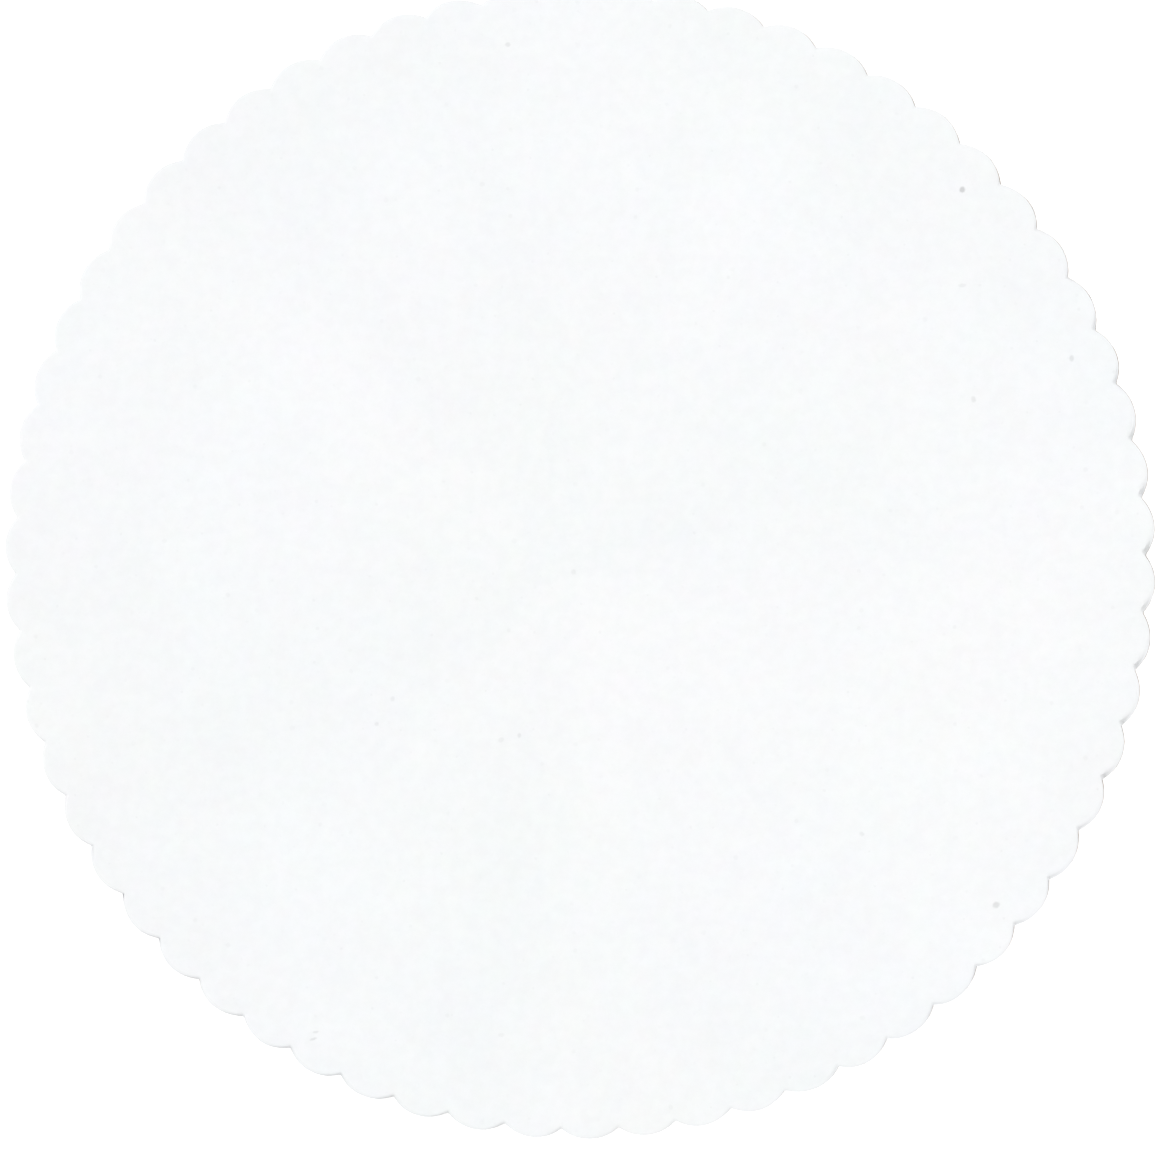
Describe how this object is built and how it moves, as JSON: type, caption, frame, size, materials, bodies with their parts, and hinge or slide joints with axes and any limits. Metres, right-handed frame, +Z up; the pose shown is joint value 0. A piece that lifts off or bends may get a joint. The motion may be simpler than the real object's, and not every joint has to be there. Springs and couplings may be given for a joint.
{
  "type": "scalloped cake board",
  "caption": "Flat round cake board with a scalloped edge: a white greaseproof sheet on single-wall fluted paperboard.",
  "frame": {"origin": "centre of the underside", "axes": "+Z up through the thickness, towards the white face; +Y along the flutes; +X across them"},
  "size_m": [0.2538, 0.254, 0.0032],
  "materials": {
    "greaseproof_white": "matte coated paper",
    "kraft_liner": "matte brown kraft paper",
    "fluting_paper": "matte recycled fluting paper",
    "starch_glue": "dried starch glue"
  },
  "bodies": {
    "root": {"greaseproof_sheet": "greaseproof_white", "top_liner": "kraft_liner", "top_glue_lines": "starch_glue", "corrugated_medium": "fluting_paper", "bottom_glue_lines": "starch_glue", "bottom_liner": "kraft_liner"}
  },
  "joints": []
}
